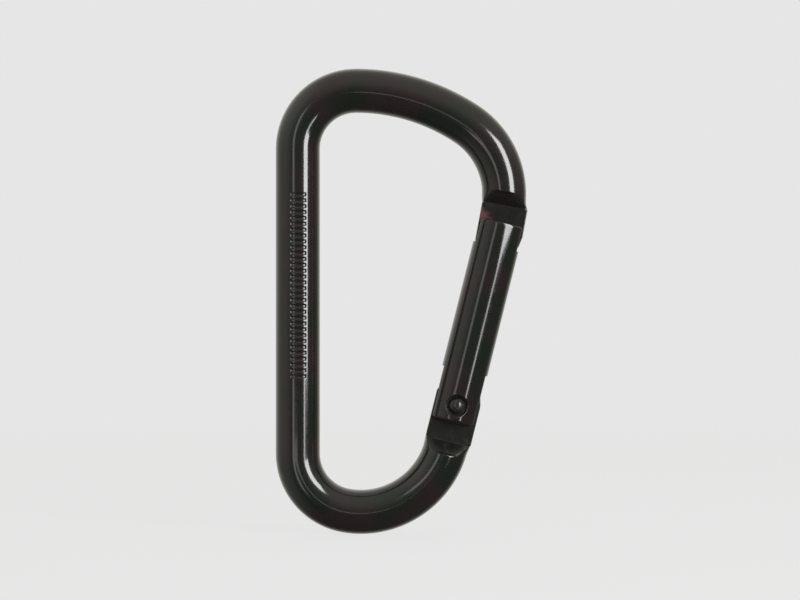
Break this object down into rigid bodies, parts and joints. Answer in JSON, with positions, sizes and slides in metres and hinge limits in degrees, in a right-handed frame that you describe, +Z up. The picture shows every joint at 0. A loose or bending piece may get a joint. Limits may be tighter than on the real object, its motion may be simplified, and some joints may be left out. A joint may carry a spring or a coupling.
{
  "type": "spring-gate carabiner",
  "caption": "D-shaped spring-gate accessory carabiner bent from round rod, with a slotted gate that opens inward on a domed rivet.",
  "frame": {"origin": "centre of the closed carabiner's box, which is the middle of the D and of the rod's thickness", "axes": "+Z up along the straight spine towards the basket that hangs, +X from the spine towards the gate, +Y through the D's opening, away from the front"},
  "size_m": [0.0432, 0.0082, 0.08],
  "materials": {
    "black_frame": "gloss black coat on bent aluminium rod",
    "black_gate": "gloss black coat on turned aluminium rod",
    "dark_rivet": "blackened steel with a polished domed head",
    "spring_wire": "bright drawn spring wire",
    "plunger_steel": "turned bright steel"
  },
  "bodies": {
    "frame": {"frame": "black_frame"},
    "gate": {"gate": "black_gate", "hinge_rivet": "dark_rivet"},
    "plunger": {"spring_plunger": "plunger_steel", "gate_spring": "spring_wire"}
  },
  "joints": [
    {"name": "gate_hinge", "type": "hinge", "parent": "frame", "child": "gate", "pos_m": [0.00941, 0, -0.0178], "axis": [0, -1, 0], "range_deg": [0, 50], "stiffness_Nm_per_rad": 0.06, "springref_deg": -57.3},
    {"name": "plunger_slide", "type": "slide", "parent": "gate", "child": "plunger", "axis": [0.2419, 0, 0.9703], "range_m": [0, 0.00125], "deforming": ["gate_spring"]}
  ],
  "couplings": [
    {"joint": "plunger_slide", "follows": "gate_hinge", "m_per_rad": 0.0013751}
  ]
}
